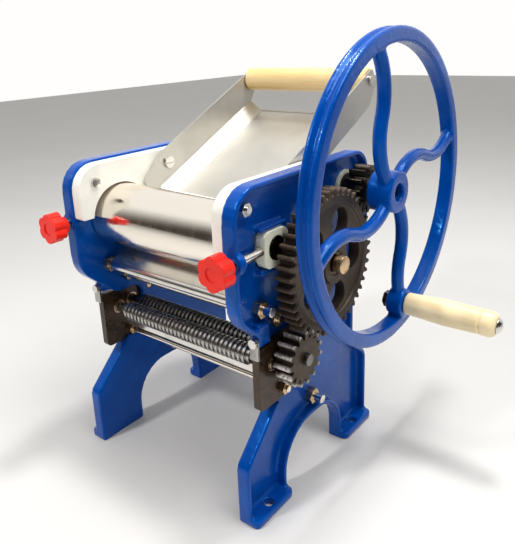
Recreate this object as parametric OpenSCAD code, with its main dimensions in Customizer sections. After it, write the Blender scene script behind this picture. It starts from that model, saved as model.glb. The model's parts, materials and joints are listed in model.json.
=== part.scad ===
// Hand-cranked noodle cutter: two dough rollers above a head of ringed cutting rollers.
// The origin lies on the floor between the four foot holes; +X is the crank side, +Y the tray side, +Z up.

/* [Side frames] */
// Clear width between the two side frames
inner_width = 180; // [165:1:200]
// Thickness of the flat web of a side frame
web_thickness = 4; // [3:0.5:5]
// Reach of the rim flange, from the inner face of the web
flange_depth = 13; // [12:0.5:15]
// Thickness of the rim flange
flange_thickness = 4; // [3:0.5:5]
// Height of the top of the frames
head_top = 288.5; // [284:0.5:300]
// Reach of the head in front of the foot holes' middle
head_front = 99; // [96:0.5:104]
// Reach of the head behind the foot holes' middle
head_rear = 97; // [94:0.5:104]
// Reach of the feet in front and behind
foot_reach = 97.6; // [94:0.2:104]
// Half the width of the arch between the feet
arch_half = 45; // [40:0.5:47]
// Height of the arch between the feet
arch_height = 56; // [50:0.5:58]
// Rear edge of the waist
waist_rear = 71; // [66:0.5:76]
// Width of a foot pad, from the inner face of the web
pad_width = 21; // [18:0.5:26]
// Thickness of a foot pad
pad_thickness = 7; // [5:0.5:10]
// Diameter of a foot hole
foot_hole_d = 9; // [7:0.5:10]
// Distance of a foot hole from the inner face of the web
foot_hole_offset = 12; // [10.5:0.5:13]
// Distance between the front and rear foot holes
foot_hole_spacing = 142.8; // [136:0.2:150]

/* [Dough rollers] */
// Diameter of the two dough rollers
roller_d = 60; // [56:0.5:62]
// Gap between the rollers at their closest setting
roller_gap = 0.7; // [0.4:0.1:1.2]
// How far the rollers can be opened
roller_travel = 3; // [1:0.5:4]
// Place of the rear roller's axis, to the rear
rear_roller_y = 4.4; // [0:0.2:8]
// Height of the rear roller's axis
rear_roller_z = 206.7; // [204:0.1:209]
// Direction from the rear roller's axis to the front one's, from +Y
front_roller_angle = 154; // [152:0.5:156]
// Diameter of the roller journals
journal_d = 20; // [16:0.5:21]
// Width of a sliding bearing block
block_size = 30; // [28:0.5:32]
// Teeth on each of the two gears that tie the rollers together
roller_gear_teeth = 20; // [18:1:24]
// Width of the roller gears
roller_gear_width = 11; // [8:0.5:14]

/* [Drive gears] */
// Module of the drive gears
gear_module = 2.75; // [2.65:0.05:2.85]
// Teeth on the drive gear
drive_teeth = 45; // [43:1:46]
// Teeth on the pinion of the hand wheel
pinion_teeth = 13; // [12:1:15]
// Teeth on the gear of the cutting head
cutter_teeth = 15; // [14:1:17]
// Width of the drive gear's teeth
gear_width = 16; // [12:0.5:18]
// Distance of the drive gear from the inner face of the web
gear_standoff = 16; // [15:0.5:20]
// Direction from the drive gear to the pinion, from +Y
pinion_angle = 39.4; // [38:0.2:41]
// Direction from the drive gear to the cutter gear, from +Y
cutter_angle = 237.2; // [235:0.2:239]
// Number of round holes in the drive gear
gear_holes = 5; // [4:1:6]
// Diameter of the holes in the drive gear
gear_hole_d = 26; // [20:0.5:28]
// Direction of the first hole in the drive gear
gear_hole_angle = 68; // [0:1:90]

/* [Hand wheel] */
// Diameter of the hand wheel
wheel_d = 276; // [266:1:286]
// Width of the rim
rim_width = 14; // [13.5:0.5:16]
// Radial height of the rim
rim_height = 13; // [11:0.5:16]
// Depth of the belt groove in the rim
groove_depth = 3.5; // [2:0.5:5]
// Width of the belt groove in the rim
groove_width = 6; // [4:0.5:6]
// Diameter of the hub
hub_d = 37; // [34:0.5:44]
// Diameter of the spokes
spoke_d = 12; // [10:0.5:12]
// How far a spoke swings to each side
spoke_wave = 8.7; // [6:0.1:11]
// How far the spokes run past the wheel's axis
spoke_offset = 5.5; // [0:0.5:7]
// Direction of the spoke beside the crank handle
spoke_angle = -77; // [-180:1:180]
// Diameter of the wheel shaft
shaft_d = 16; // [14:0.5:18]
// Gap between the drive gear and the wheel's rim
wheel_gap = 13; // [11:0.5:16]

/* [Crank handle] */
// Distance of the handle from the wheel's axis
handle_radius = 114; // [112:0.5:118]
// Direction of the handle from the wheel's axis
handle_angle = -79.5; // [-90:0.5:-70]
// Length of the wooden grip
grip_length = 84; // [70:1:100]
// Largest diameter of the wooden grip
grip_d = 24; // [20:0.5:28]
// Diameter of the bolt through the grip
handle_bolt_d = 8; // [6:0.5:10]

/* [Gap knobs] */
// Diameter over the lobes of a knob
knob_d = 27.5; // [25:0.5:34]
// Length of a knob's lobed body
knob_length = 12; // [10:0.5:16]
// Number of lobes
knob_lobes = 6; // [5:1:8]
// Diameter of the gap screws
gap_screw_d = 8; // [6:0.5:8]

/* [Guards] */
// Thickness of the plastic guards
guard_thickness = 11; // [8:0.5:14]
// Gap between a guard and the rollers
guard_gap = 1; // [0.6:0.1:2]

/* [Cutting head] */
// Thickness of the cutter plates
cutter_plate = 7; // [5:0.5:8]
// Diameter of the cutting rings
ring_d = 18.4; // [17:0.2:20]
// Distance from ring to ring
ring_pitch = 5; // [4:0.5:6]
// Depth of the grooves between the rings
groove_cut = 2; // [1.9:0.1:2.4]
// Side clearance between interleaved rings
ring_clearance = 0.15; // [0.1:0.05:0.3]
// Number of rings on the rear cutting roller
ring_count = 30; // [20:2:30]
// Teeth on the link gears of the cutting rollers
link_teeth = 14; // [13:1:15]
// How far the rings of one roller reach into the grooves of the other
ring_overlap = 1.6; // [1.2:0.1:1.7]
// Direction from the rear cutting roller to the front one, from +Y
cutter_lean = 189; // [185:0.5:195]
// Diameter of the cutting rollers' journals
cutter_journal_d = 10; // [9:0.5:10.5]
// Diameter of the tie rod of the cutting head
cutter_rod_d = 6; // [5:0.5:8]

/* [Feed tray] */
// Slope of the tray
tray_angle = 25.5; // [22:0.5:27]
// Gap between the tray's walls and the guards
tray_gap = 2; // [1:0.5:6]
// Thickness of the tray's sheet
sheet = 1.2; // [0.8:0.1:1.6]
// Height of the walls
wall_height = 43; // [38:0.5:46]
// Width of the sloped fold between floor and wall
tray_fold = 13; // [8:0.5:18]
// Length of the tray's floor
floor_length = 164; // [120:1:170]
// Diameter of the wooden bar
bar_d = 25; // [20:0.5:28]
// Distance of the bar from the tray's screws, along the slope
bar_reach = 155; // [150:1:170]

/* [Fasteners and fits] */
// Diameter of the tie rods
tie_rod_d = 8; // [6:0.5:9]
// Width of a tie rod nut across its flats
nut_flats = 13; // [12:0.5:14]
// Height of a tie rod nut
nut_height = 6.5; // [5:0.5:7]
// Radial clearance of a turning shaft in its bush
running_fit = 0.05; // [0.03:0.01:0.08]
// Radial clearance of a fixed fit
fixed_fit = 0.02; // [0.01:0.01:0.05]
// Gap between pieces that slide or pass each other
slide_gap = 0.3; // [0.2:0.05:0.5]

/* [Hidden] */
$fn = 64;

// Colours
frame_blue = "#0d47c4";
cream = "#f1ead6";
nylon = "#dfe3c4";
knob_red = "#e3261c";
chrome = "#d3d6da";
zinc = "#c9b46a";
cast_iron = "#6f6258";
dark_steel = "#3a3836";
bright_steel = "#aeb2b6";
wood = "#e8cf9c";
tray_grey = "#c4c5c3";

// Stations along X, from the middle of the machine to the crank side
web_in = inner_width / 2;
web_out = web_in + web_thickness;
flange_out = web_in + flange_depth;
bush_flange = 3;
bush_out = web_out + bush_flange;
gear_in = web_in + gear_standoff;
gear_out = gear_in + gear_width;
wheel_in = gear_out + wheel_gap;
wheel_out = wheel_in + rim_width;
wheel_mid = (wheel_in + wheel_out) / 2;
screw_x = web_out + gap_screw_d / 2 + 0.5;
block_in = web_out + slide_gap;
block_out = screw_x + gap_screw_d / 2 + 0.5;
roller_gear_in = block_out + 1.4;
roller_gear_out = roller_gear_in + roller_gear_width;
roller_end = web_in - 1;
guard_in = web_in - guard_thickness;
plate_out = web_out + cutter_plate;
link_in = plate_out + 1;
link_out = link_in + 10;

// Axes in the YZ plane
rear_axis = [rear_roller_y, rear_roller_z];
roller_distance = roller_d + roller_gap;
front_axis = rear_axis + roller_distance * heading(front_roller_angle);
wheel_axis = rear_axis + gear_module * (drive_teeth + pinion_teeth) / 2 * heading(pinion_angle);
rear_cutter_axis = rear_axis + gear_module * (drive_teeth + cutter_teeth) / 2 * heading(cutter_angle);
cutter_distance = ring_d - ring_overlap;
front_cutter_axis = rear_cutter_axis + cutter_distance * heading(cutter_lean);
handle_axis = wheel_axis + handle_radius * heading(handle_angle);
front_rod_lead = 16.2;
front_rod_drop = 47.6;
front_rod_at = front_axis - [front_rod_lead, front_rod_drop];
scraper_rod_lag = 2.9;
scraper_rod_drop = 62.6;
scraper_rod_at = front_axis + [scraper_rod_lag, -scraper_rod_drop];
nut_reach = nut_flats / cos(30) / 2;
nut_room = 2.5;
rear_rod_rise = 8;
base_rod_at = [rear_roller_y, arch_height + flange_thickness + nut_reach + nut_room];
rear_rod_at = [head_rear - flange_thickness - nut_reach - nut_room, rear_roller_z + rear_rod_rise];
guard_screw_back = 20;
guard_screw_drop = 18.5;
guard_screw_at = [guard_screw_back - head_front, head_top - guard_screw_drop];
cutter_rod_lead = 5.2;
cutter_rod_drop = 31;
cutter_rod_at = rear_cutter_axis - [cutter_rod_lead, cutter_rod_drop];

// Cutting head plate and its seat in the frame
plate_lead = 19.1;
plate_tail = 30;
plate_rise = 16.6;
plate_drop = 40.4;
plate_front = front_cutter_axis[0] - plate_lead;
plate_rear = rear_cutter_axis[0] + plate_tail;
plate_top = rear_cutter_axis[1] + plate_rise;
plate_bottom = rear_cutter_axis[1] - plate_drop;
seat_gap = 1;
notch_tail = 10.3;
notch_rise = 14.6;
notch_drop = 15.4;
notch_rear = rear_cutter_axis[0] + notch_tail;
notch_top = rear_cutter_axis[1] + notch_rise;
notch_bottom = rear_cutter_axis[1] - notch_drop;
seat_top = max(plate_top, notch_top + flange_thickness) + seat_gap;
cutter_bolt_d = 6;
cutter_bolt_at = [for (z = [plate_top - 8, plate_bottom + 9]) [plate_rear - 9, z]];

// Turn clips of the cutting head
latch_thickness = 2;
latch_x = (web_out + flange_out) / 2;
latch_z = seat_top + 4.2;
latch_screw_d = 4;
lug_length = 14;
lug_height = 19;

// Gears
pressure_angle = 20;
profile_shift = 0.3;
backlash = 0.12;
drive_phase = 0;
pinion_phase = mesh_phase(pinion_angle, drive_teeth, drive_phase, pinion_teeth);
cutter_phase = mesh_phase(cutter_angle, drive_teeth, drive_phase, cutter_teeth);
roller_module = roller_d / roller_gear_teeth;
roller_backlash = 0.4;
roller_gear_phase = mesh_phase(front_roller_angle, roller_gear_teeth, 0, roller_gear_teeth);
link_module = cutter_distance / link_teeth;
link_backlash = 0.15;
link_phase = mesh_phase(cutter_lean, link_teeth, 0, link_teeth);
gear_root = gear_module * (drive_teeth / 2 - 1.25 - profile_shift);
gear_rim = 7;
gear_hub_d = journal_d + 16;
gear_end = gear_out + 2;
key_width = 5;
key_height = 5;
shaft_end_d = 12;

// Hand wheel
rim_inner = wheel_d / 2 - rim_height;
rim_round = 2.5;
rim_edge = 0.6;
hub_in = wheel_in - 8;
hub_out = wheel_out + 1;
shaft_end = hub_out - 6;
spoke_knuckle = 1.8;
spoke_root = 4;
handle_boss_d = 26;
handle_seat = wheel_out + 1.5;
handle_nut_height = 6;
handle_nut_flats = 14;
grip_end = handle_seat + 0.5 + grip_length;

// Bushes
roller_bush_d = journal_d + 6;
shaft_bush_d = shaft_d + 6;
cutter_bush_d = cutter_journal_d + 4;

// Feed tray, in its own sloped frame with the screws at the origin
tray_screw_lag = 5;
tray_screw_drop = 15.5;
tray_screw_at = [rear_roller_y + tray_screw_lag, head_top - tray_screw_drop];
tray_half = guard_in - tray_gap;
wall_top = 14.5;
tray_floor = wall_top - wall_height;
floor_front = -22;
floor_rear = floor_front + floor_length;
bar_v = 5.8;
tray_screw_d = 6;
bar_screw_d = 5;

// Directions, rounded outlines and insets

function heading(a) = [cos(a), sin(a)];
function unit(v) = v / norm(v);
function turned(p, a) = [p[0] * cos(a) - p[1] * sin(a), p[0] * sin(a) + p[1] * cos(a)];
function flat(p) = [p[0], p[1]];

// One corner of an outline, drawn as an arc of the corner's own radius
function corner(before, at, after, steps) =
    let (
        p = flat(at),
        a = unit(flat(before) - p),
        b = unit(flat(after) - p),
        half = acos(a * b) / 2,
        centre = p + unit(a + b) * at[2] / sin(half),
        first = p + a * at[2] / tan(half) - centre,
        last = p + b * at[2] / tan(half) - centre,
        sweep = atan2(cross(first, last), first * last)
    )
    [for (k = [0:steps]) centre + turned(first, sweep * k / steps)];

// Outline through [y, z, radius] points with every corner rounded
function rounded(points, steps = 6) =
    let (n = len(points))
    [for (i = [0:n - 1]) each corner(points[(i + n - 1) % n], points[i], points[(i + 1) % n], steps)];

// The same kind of outline, moved inwards; points run counter-clockwise
function inset(points, d) =
    let (n = len(points))
    [for (i = [0:n - 1])
        let (
            p = flat(points[i]),
            a = unit(p - flat(points[(i + n - 1) % n])),
            b = unit(flat(points[(i + 1) % n]) - p),
            na = [-a[1], a[0]],
            nb = [-b[1], b[0]],
            q = p + d * (na + nb) / (1 + na * nb)
        )
        [q[0], q[1], max(cross(a, b) > 0 ? points[i][2] - d : points[i][2] + d, 0.5)]];

// Rectangle with one corner radius, for rounded()
function box_points(y0, z0, y1, z1, r) = [[y0, z0, r], [y1, z0, r], [y1, z1, r], [y0, z1, r]];

// Involute gears

function involute(r, base) = let (t = sqrt(max(pow(r / base, 2) - 1, 0))) t * 180 / PI - atan(t);

// Turn of a gear that puts its teeth into the gaps of the gear it meets
function mesh_phase(direction, teeth, phase, next_teeth) =
    direction + 180 + 180 / next_teeth - (phase - direction) * teeth / next_teeth;

function tooth(m, z, shift, thin, steps = 4) =
    let (
        pitch = m * z / 2,
        base = pitch * cos(pressure_angle),
        tip = m * (z / 2 + 1 + shift),
        root = m * (z / 2 - 1.25 + shift),
        low = max(base, root),
        half = (PI * m / 2 + 2 * shift * m * tan(pressure_angle) - thin) / (2 * pitch) * 180 / PI,
        radii = [for (k = [0:steps]) low + (tip - low) * k / steps],
        angles = [for (r = radii) half + involute(pitch, base) - involute(r, base)]
    )
    concat(
        [root * heading(-angles[0])],
        [for (k = [0:steps]) radii[k] * heading(-angles[k])],
        [for (k = [steps:-1:0]) radii[k] * heading(angles[k])],
        [root * heading(angles[0])]
    );

module gear_profile(m, z, shift, thin, phase) {
    polygon([for (i = [0:z - 1]) each [for (p = tooth(m, z, shift, thin)) turned(p, phase + 360 * i / z)]]);
}

// Placing

// Turns a flat drawing into the YZ plane, with its height along +X
module in_yz() rotate([90, 0, 90]) children();

module at_axis(axis) translate([0, axis[0], axis[1]]) children();

module both_sides() {
    children();
    mirror([1, 0, 0]) children();
}

module plate_x(x0, x1, points) translate([x0, 0, 0]) in_yz() linear_extrude(x1 - x0) polygon(points);

module rod_x(axis, x0, x1, d) at_axis(axis) translate([x0, 0, 0]) in_yz() cylinder(h = x1 - x0, d = d);

module bush_x(axis, x0, x1, outer, bore) {
    difference() {
        rod_x(axis, x0, x1, outer);
        rod_x(axis, x0 - 1, x1 + 1, bore);
    }
}

module hex_x(axis, x0, x1, flats) {
    at_axis(axis) translate([x0, 0, 0]) in_yz() cylinder(h = x1 - x0, d = flats / cos(30), $fn = 6);
}

module nut_x(axis, x0, x1, flats, bore) {
    difference() {
        hex_x(axis, x0, x1, flats);
        rod_x(axis, x0 - 1, x1 + 1, bore);
    }
}

// Side frames

foot_front_top = 55;
foot_rear_top = 76;
waist_low = 96;
waist_high = 150;
head_low = 180;
chin_rise = 34;
chin_run = 30;
frame_outline = [
    [-foot_reach, 0, 3], [-arch_half, 0, 3],
    [-arch_half, arch_height, 38], [arch_half, arch_height, 38],
    [arch_half, 0, 3], [foot_reach, 0, 3],
    [foot_reach, foot_rear_top, 18], [waist_rear, waist_low, 22],
    [waist_rear, waist_high, 28], [head_rear, head_low, 28],
    [head_rear, head_top, 22], [-head_front, head_top, 26],
    [-head_front, notch_top + chin_rise, 30], [notch_rear - chin_run, notch_top, 12],
    [notch_rear, notch_top, 10], [notch_rear, notch_bottom, 10],
    [-foot_reach, foot_front_top, 14]];

block_rail = 4;
rail_out = block_out - 1.5;
rail_front = front_axis[0] - block_size / 2 - roller_travel;
rail_rear = front_axis[0] + block_size / 2 + 2;
rail_offset = block_size / 2 + slide_gap;
tongue = block_size - 6;
screw_boss_d = gap_screw_d + 11;
screw_boss_length = flange_thickness + 3.5;

module foot_pad(y0, y1) {
    linear_extrude(pad_thickness) polygon(rounded([[web_in, y0, 0.5], [web_in + pad_width, y0, 6],
        [web_in + pad_width, y1, 6], [web_in, y1, 0.5]]));
}

module block_rails() {
    for (z = [rail_offset, -rail_offset - block_rail])
        plate_x(web_out - 0.5, rail_out, rounded(box_points(rail_front, front_axis[1] + z, rail_rear,
            front_axis[1] + z + block_rail, 1.5)));
}

module screw_boss(d, length) {
    translate([screw_x, -head_front, front_axis[1]]) rotate([-90, 0, 0]) cylinder(h = length, d = d);
}

module latch_lug() {
    translate([web_out - 0.5, plate_front, seat_top])
        cube([flange_out - web_out + 0.5, lug_length, lug_height]);
}

module frame_holes() {
    through = [web_in - 1, web_out + 1];
    rod_x(rear_axis, through[0], through[1], roller_bush_d + 2 * fixed_fit);
    rod_x(wheel_axis, through[0], through[1], shaft_bush_d + 2 * fixed_fit);
    for (at = [front_rod_at, base_rod_at, rear_rod_at, scraper_rod_at])
        rod_x(at, through[0], through[1], tie_rod_d + 2 * fixed_fit);
    rod_x(guard_screw_at, through[0], through[1], guard_screw_d + 2 * fixed_fit);
    for (at = cutter_bolt_at)
        rod_x(at, through[0], through[1], cutter_bolt_d + 2 * fixed_fit);
    rod_x(cutter_rod_at, through[0], through[1], cutter_rod_d + 8);
    plate_x(through[0], through[1], rounded(box_points(
        front_axis[0] - tongue / 2 - roller_travel - slide_gap, front_axis[1] - tongue / 2 - slide_gap,
        front_axis[0] + tongue / 2 + slide_gap, front_axis[1] + tongue / 2 + slide_gap, 2)));
    translate([0, -1, 0]) screw_boss(gap_screw_d + 2 * running_fit, screw_boss_length + 2);
    translate([latch_x, plate_front - 1, latch_z]) rotate([-90, 0, 0])
        cylinder(h = 11, d = latch_screw_d + 2 * fixed_fit);
    for (y = [-1, 1])
        translate([web_in + foot_hole_offset, y * foot_hole_spacing / 2, -1])
            cylinder(h = pad_thickness + 2, d = foot_hole_d);
}

module side_frame() {
    difference() {
        union() {
            plate_x(web_in, web_out, rounded(frame_outline));
            difference() {
                plate_x(web_in, flange_out, rounded(frame_outline));
                plate_x(web_in - 1, flange_out + 1, rounded(inset(frame_outline, flange_thickness)));
                translate([web_out, plate_front - seat_gap, plate_bottom - seat_gap])
                    cube([flange_depth, plate_rear - plate_front + 2 * seat_gap,
                        seat_top - plate_bottom + seat_gap]);
            }
            foot_pad(-foot_reach, -arch_half);
            foot_pad(arch_half, foot_reach);
            block_rails();
            screw_boss(screw_boss_d, screw_boss_length);
            latch_lug();
        }
        frame_holes();
    }
}

module right_frame() { color(frame_blue) side_frame(); }
module left_frame() { color(frame_blue) mirror([1, 0, 0]) side_frame(); }

// Guards beside the roller ends

guard_screw_d = 6;
guard_screw_head = 2.5;
guard_nut_height = 5;
guard_nut_flats = 10;
guard_rear = wheel_axis[0] - shaft_d / 2 - 8;
guard_outline = [
    [2 - head_front, front_axis[1] + 4, 3], [front_axis[0], front_axis[1] + 4, 0.5],
    [rear_axis[0], rear_axis[1], 0.5], [rear_axis[0] + roller_d / 2 + 6, rear_axis[1] + 6, 4],
    [guard_rear, head_top - 30, 10], [guard_rear, head_top - 2, 6],
    [2 - head_front, head_top - 2, 24]];

module side_guard() {
    difference() {
        plate_x(guard_in, web_in, rounded(guard_outline));
        for (axis = [front_axis, rear_axis])
            rod_x(axis, guard_in - 1, web_in + 1, roller_d + 2 * guard_gap);
        rod_x(front_axis - [roller_travel, 0], guard_in - 1, web_in + 1, roller_d + 2 * guard_gap);
        rod_x(guard_screw_at, guard_in - 1, web_in + 1, guard_screw_d + 2 * fixed_fit);
        rod_x(tray_screw_at, guard_in - 1, web_in - 1, tray_screw_d + 2 * fixed_fit);
    }
}

module right_guard() { color(cream) side_guard(); }
module left_guard() { color(cream) mirror([1, 0, 0]) side_guard(); }

module guard_screws() {
    color(bright_steel) both_sides() difference() {
        union() {
            rod_x(guard_screw_at, guard_in - guard_screw_head, guard_in, 2 * guard_screw_d);
            rod_x(guard_screw_at, guard_in - 0.5, web_out + guard_nut_height + 2, guard_screw_d);
        }
        at_axis(guard_screw_at) translate([guard_in - guard_screw_head - 1, -guard_screw_d, -0.6])
            cube([2.2, 2 * guard_screw_d, 1.2]);
    }
}

module guard_nuts() {
    color(bright_steel) both_sides()
        nut_x(guard_screw_at, web_out, web_out + guard_nut_height, guard_nut_flats,
            guard_screw_d + 2 * fixed_fit);
}

// Tie rods and their nuts

stud = 9;
short_stud = 3;

module tie_rod(at, past_nut) {
    end = web_out + nut_height + past_nut;
    color(chrome) rod_x(at, -end, end, tie_rod_d);
}

module front_tie_rod() { tie_rod(front_rod_at, stud); }
module base_tie_rod() { tie_rod(base_rod_at, stud); }
module rear_tie_rod() { tie_rod(rear_rod_at, stud); }
module scraper_rod() { tie_rod(scraper_rod_at, short_stud); }

module tie_rod_nuts() {
    color(zinc) both_sides() for (at = [front_rod_at, base_rod_at, rear_rod_at, scraper_rod_at]) {
        nut_x(at, web_out, web_out + nut_height, nut_flats, tie_rod_d + 2 * fixed_fit);
        nut_x(at, web_in - nut_height, web_in, nut_flats, tie_rod_d + 2 * fixed_fit);
    }
}

// Scrapers, each a strip rolled round its rod that ends just clear of a roller

scraper_half = web_in - nut_height - 1;

module scraper(rod, axis, direction) {
    run = axis + (roller_d / 2 + slide_gap) * heading(direction) - rod;
    strip_start = tie_rod_d / 2 + fixed_fit;
    strip_top = strip_start + sheet;
    lean = atan2(run[1], run[0]) - asin(strip_top / norm(run));
    at_axis(rod) translate([-scraper_half, 0, 0]) in_yz() rotate(lean) linear_extrude(2 * scraper_half)
        difference() {
            union() {
                circle(r = strip_top);
                translate([0, strip_start]) square([sqrt(run * run - strip_top * strip_top), sheet]);
            }
            circle(r = strip_start);
        }
}

module front_scraper() { color(bright_steel) scraper(front_rod_at, front_axis, -78); }
module rear_scraper() { color(bright_steel) scraper(scraper_rod_at, rear_axis, -152); }

// Bushes in the webs

module flanged_bush(axis, outer, bore) {
    difference() {
        union() {
            rod_x(axis, web_in, bush_out, outer);
            rod_x(axis, web_out, bush_out, outer + 8);
        }
        rod_x(axis, web_in - 1, bush_out + 1, bore);
    }
}

module roller_bushes() {
    color(nylon) both_sides() flanged_bush(rear_axis, roller_bush_d, journal_d + 2 * running_fit);
}

module shaft_bushes() {
    color(nylon) both_sides() flanged_bush(wheel_axis, shaft_bush_d, shaft_d + 2 * running_fit);
}

// Dough rollers

module drum(axis) {
    at_axis(axis) in_yz() translate([0, 0, -roller_end]) rotate_extrude()
        polygon([[0, 0], [roller_d / 2 - 1, 0], [roller_d / 2, 1], [roller_d / 2, 2 * roller_end - 1],
            [roller_d / 2 - 1, 2 * roller_end], [0, 2 * roller_end]]);
}

// Keyway in a shaft and its wheel, on top of the shaft
module keyway(axis, d, x0, x1, gap) {
    at_axis(axis) translate([x0, -key_width / 2 - gap, d / 2 - key_height / 2 - gap])
        cube([x1 - x0, key_width + 2 * gap, key_height + 2 * gap]);
}

module rear_roller() {
    color(chrome) difference() {
        union() {
            drum(rear_axis);
            rod_x(rear_axis, -roller_gear_out, gear_end - 1, journal_d);
            rod_x(rear_axis, 0, gear_end + nut_height + 1.5, shaft_end_d);
        }
        keyway(rear_axis, journal_d, gear_in, gear_out, fixed_fit);
    }
}

module drive_gear() {
    lighten = (gear_root - gear_rim + gear_hub_d / 2) / 2;
    color(cast_iron) difference() {
        union() {
            at_axis(rear_axis) translate([gear_in, 0, 0]) in_yz() linear_extrude(gear_width) difference() {
                gear_profile(gear_module, drive_teeth, -profile_shift, backlash, drive_phase);
                circle(r = gear_root - gear_rim);
            }
            rod_x(rear_axis, gear_in + 3, gear_out - 2.5, 2 * (gear_root - gear_rim) + 1);
            rod_x(rear_axis, bush_out + slide_gap, gear_end, gear_hub_d);
        }
        rod_x(rear_axis, bush_out, gear_end + 1, journal_d + 2 * fixed_fit);
        keyway(rear_axis, journal_d, bush_out, gear_end + 1, fixed_fit);
        for (i = [0:gear_holes - 1])
            rod_x(rear_axis + lighten * heading(gear_hole_angle + 360 * i / gear_holes), gear_in, gear_out,
                gear_hole_d);
    }
}

module drive_key() { color(bright_steel) keyway(rear_axis, journal_d, gear_in, gear_out, 0); }

module gear_nut() {
    color(zinc) nut_x(rear_axis, gear_end, gear_end + nut_height, nut_flats + 6, shaft_end_d + 2 * fixed_fit);
}

module roller_gear(axis, phase, hub_in_x) {
    mirror([1, 0, 0]) difference() {
        union() {
            at_axis(axis) translate([roller_gear_in, 0, 0]) in_yz() linear_extrude(roller_gear_width)
                gear_profile(roller_module, roller_gear_teeth, 0, roller_backlash, phase);
            rod_x(axis, hub_in_x, roller_gear_in + 1, journal_d + 10);
        }
        rod_x(axis, hub_in_x - 1, roller_gear_out + 1, journal_d + 2 * fixed_fit);
    }
}

module rear_roller_gear() {
    color(cast_iron) roller_gear(rear_axis, 0, bush_out + slide_gap);
}

module front_roller_gear() {
    color(cast_iron) roller_gear(front_axis, roller_gear_phase, block_out + slide_gap);
}

module front_roller() {
    color(chrome) {
        drum(front_axis);
        rod_x(front_axis, -roller_gear_out, block_out - 1.5, journal_d);
    }
}

// Sliding bearing blocks, with a tongue in the web and a pocket for the gap screw

pocket_depth = 5;

module bearing_block() {
    difference() {
        union() {
            plate_x(block_in, block_out, rounded(box_points(
                front_axis[0] - block_size / 2, front_axis[1] - block_size / 2,
                front_axis[0] + block_size / 2, front_axis[1] + block_size / 2, 7)));
            plate_x(web_in + slide_gap, block_in + 0.5, rounded(box_points(
                front_axis[0] - tongue / 2, front_axis[1] - tongue / 2,
                front_axis[0] + tongue / 2, front_axis[1] + tongue / 2, 2)));
        }
        rod_x(front_axis, web_in, block_out + 1, journal_d + 2 * running_fit);
        translate([screw_x, front_axis[0] - block_size / 2 - 1, front_axis[1]]) rotate([-90, 0, 0])
            cylinder(h = pocket_depth + 1, d = gap_screw_d + 2 * running_fit);
    }
}

module right_bearing_block() { color(nylon) bearing_block(); }
module left_bearing_block() { color(nylon) mirror([1, 0, 0]) bearing_block(); }

// Gap knobs and screws

knob_neck = 6;
knob_dish = 1.2;
knob_back = -head_front - 4;
knob_front = knob_back - knob_neck - knob_length;
screw_tip = front_axis[0] - block_size / 2 + pocket_depth - slide_gap;
lobe_d = knob_d * 0.45;

module gap_knob() {
    difference() {
        translate([screw_x, knob_back, front_axis[1]]) rotate([90, 0, 0]) {
            cylinder(h = knob_neck + 1, d = knob_d * 0.55);
            translate([0, 0, knob_neck]) linear_extrude(knob_length) {
                circle(d = knob_d - lobe_d / 2);
                for (i = [0:knob_lobes - 1])
                    rotate(30 + 360 * i / knob_lobes) translate([(knob_d - lobe_d) / 2, 0])
                        circle(d = lobe_d);
            }
        }
        translate([screw_x, knob_back + 1, front_axis[1]]) rotate([90, 0, 0])
            cylinder(h = knob_length + 1, d = gap_screw_d + 2 * fixed_fit);
        translate([screw_x, knob_front - 1, front_axis[1]]) rotate([-90, 0, 0])
            cylinder(h = knob_dish + 1, d = knob_d * 0.4);
    }
}

module gap_screw() {
    translate([screw_x, screw_tip, front_axis[1]]) rotate([90, 0, 0])
        cylinder(h = screw_tip - knob_back + knob_length - 1, d = gap_screw_d);
}

module right_knob() { color(knob_red) gap_knob(); }
module left_knob() { color(knob_red) mirror([1, 0, 0]) gap_knob(); }
module right_screw() { color(chrome) gap_screw(); }
module left_screw() { color(chrome) mirror([1, 0, 0]) gap_screw(); }

// Hand wheel with a grooved rim and four S-shaped spokes

// Half of the rim's section, with its inner edge broken and its outer ridge rounded
module rim_half() {
    outer = wheel_d / 2;
    half = rim_width / 2;
    polygon([[rim_inner, 0], [rim_inner, half - rim_edge], [rim_inner + rim_edge, half],
        [outer - rim_round, half], [outer - rim_round, half - rim_round], [outer, half - rim_round],
        [outer, groove_width / 2], [outer - groove_depth, groove_width / 6], [outer - groove_depth, 0]]);
    translate([outer - rim_round, half - rim_round]) circle(r = rim_round);
}

module rim_ring() {
    translate([wheel_mid, 0, 0]) in_yz() rotate_extrude($fn = 128) {
        rim_half();
        mirror([0, 1]) rim_half();
    }
}

// One spoke beside the local x axis: two arcs that bend to opposite sides, with a knuckle where they meet
module spoke(start, finish) {
    chord = (finish - start) / 2;
    bend = chord * chord / (8 * spoke_wave) + spoke_wave / 2;
    half = asin(chord / (2 * bend));
    short = asin(spoke_knuckle / 4 / bend);
    for (side = [1, -1])
        translate([start + chord * (1 - side / 2), spoke_offset + side * (spoke_wave - bend)])
            rotate(side * 90 - half + short) rotate_extrude(angle = 2 * half - short) translate([bend, 0])
                circle(d = spoke_d);
    translate([start + chord, spoke_offset]) rotate(-half) rotate([0, 90, 0])
        cylinder(h = spoke_knuckle, d = spoke_d + spoke_knuckle / 6, center = true);
}

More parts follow.
